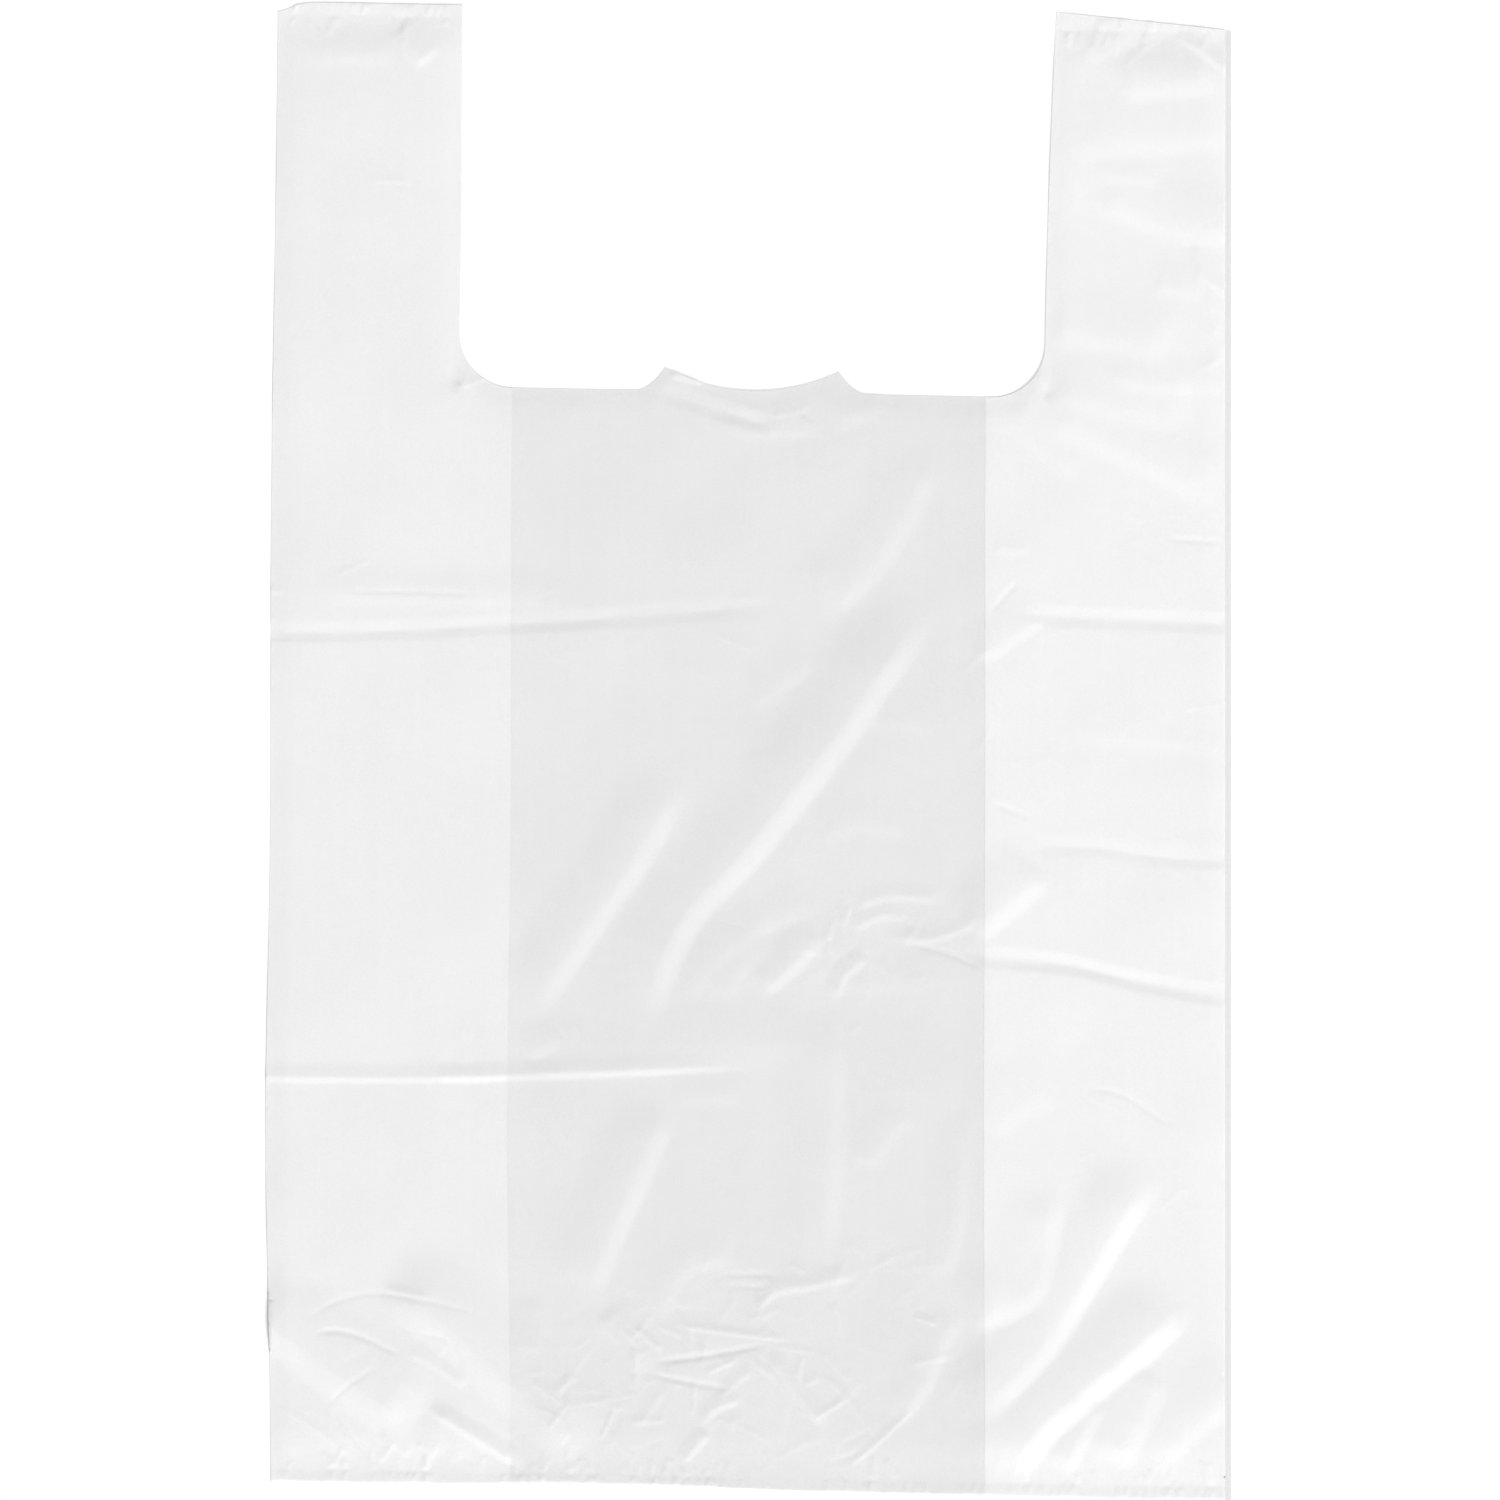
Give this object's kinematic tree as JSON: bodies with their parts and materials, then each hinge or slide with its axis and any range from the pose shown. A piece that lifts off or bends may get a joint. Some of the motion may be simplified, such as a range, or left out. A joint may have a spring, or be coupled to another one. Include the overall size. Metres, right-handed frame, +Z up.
{
  "type": "plastic carrier bag",
  "caption": "Empty vest-type carrier bag of thin translucent film, lying flat, with side gussets, two handle loops and a torn stub where its hanging tab was pulled off.",
  "frame": {"origin": "centre of the bounding box on its underside, where the flat back wall lies on the surface", "axes": "+Y towards the handles along the bag's length, +Z up through the flat layers, +X to the right across the bag"},
  "size_m": [0.36, 0.555, 0.0027],
  "materials": {
    "film": "satin, milky white, slightly see-through, fine grain"
  },
  "bodies": {
    "root": {"carrier_bag": "film"}
  },
  "joints": []
}
